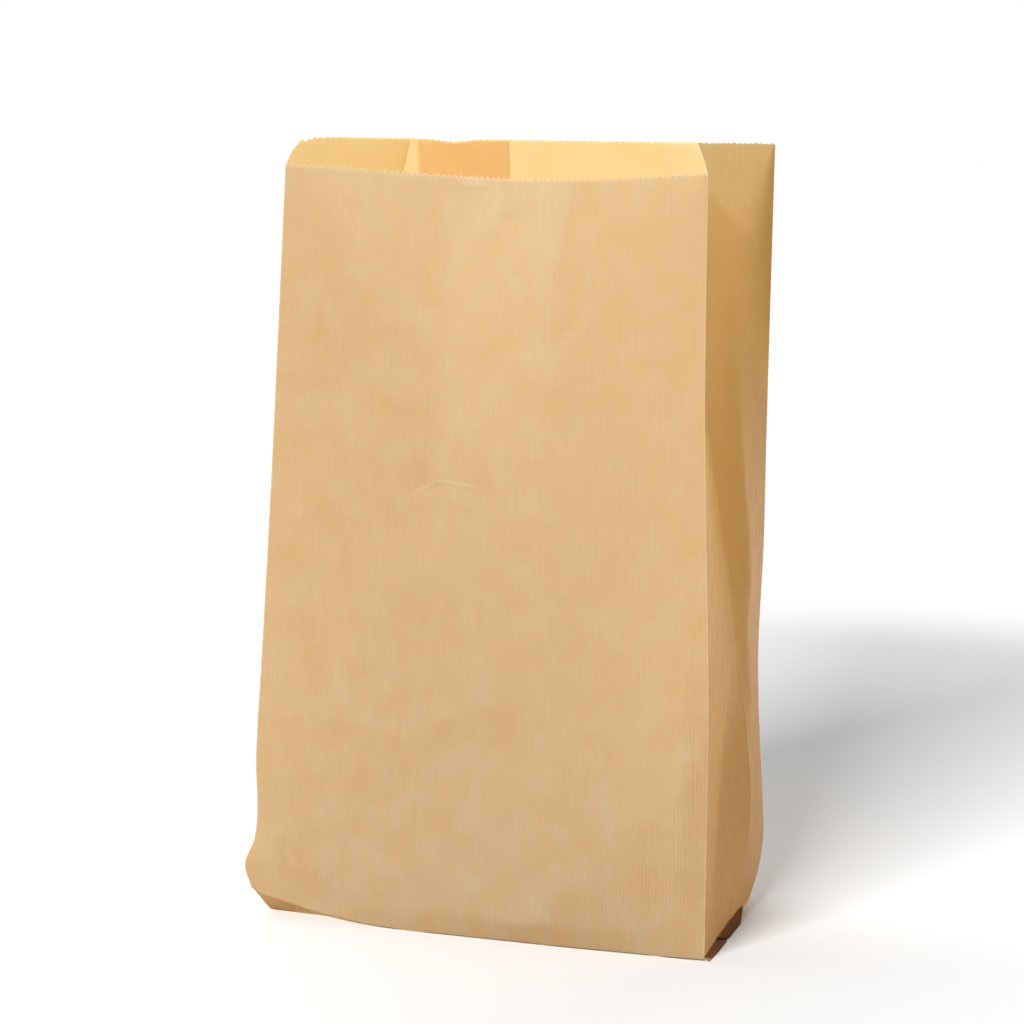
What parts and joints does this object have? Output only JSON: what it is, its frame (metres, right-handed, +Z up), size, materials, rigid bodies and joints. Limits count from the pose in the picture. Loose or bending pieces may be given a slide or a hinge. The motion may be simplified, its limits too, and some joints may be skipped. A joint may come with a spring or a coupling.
{
  "type": "paper bread bag",
  "caption": "Upright kraft paper bread bag with side gussets tucked in at an open toothed mouth, a front cut lower than the back, and a folded glued base.",
  "frame": {"origin": "on the floor, under the middle of the bag's box", "axes": "+Z up, out of the mouth; the front panel, whose cut is lower, faces -Y; +X to the right seen from the front"},
  "size_m": [0.23, 0.1232, 0.3585],
  "materials": {
    "kraft_paper": "brown ribbed kraft, machine glazed, slightly translucent"
  },
  "bodies": {
    "root": {"paper_bag": "kraft_paper"}
  },
  "joints": []
}
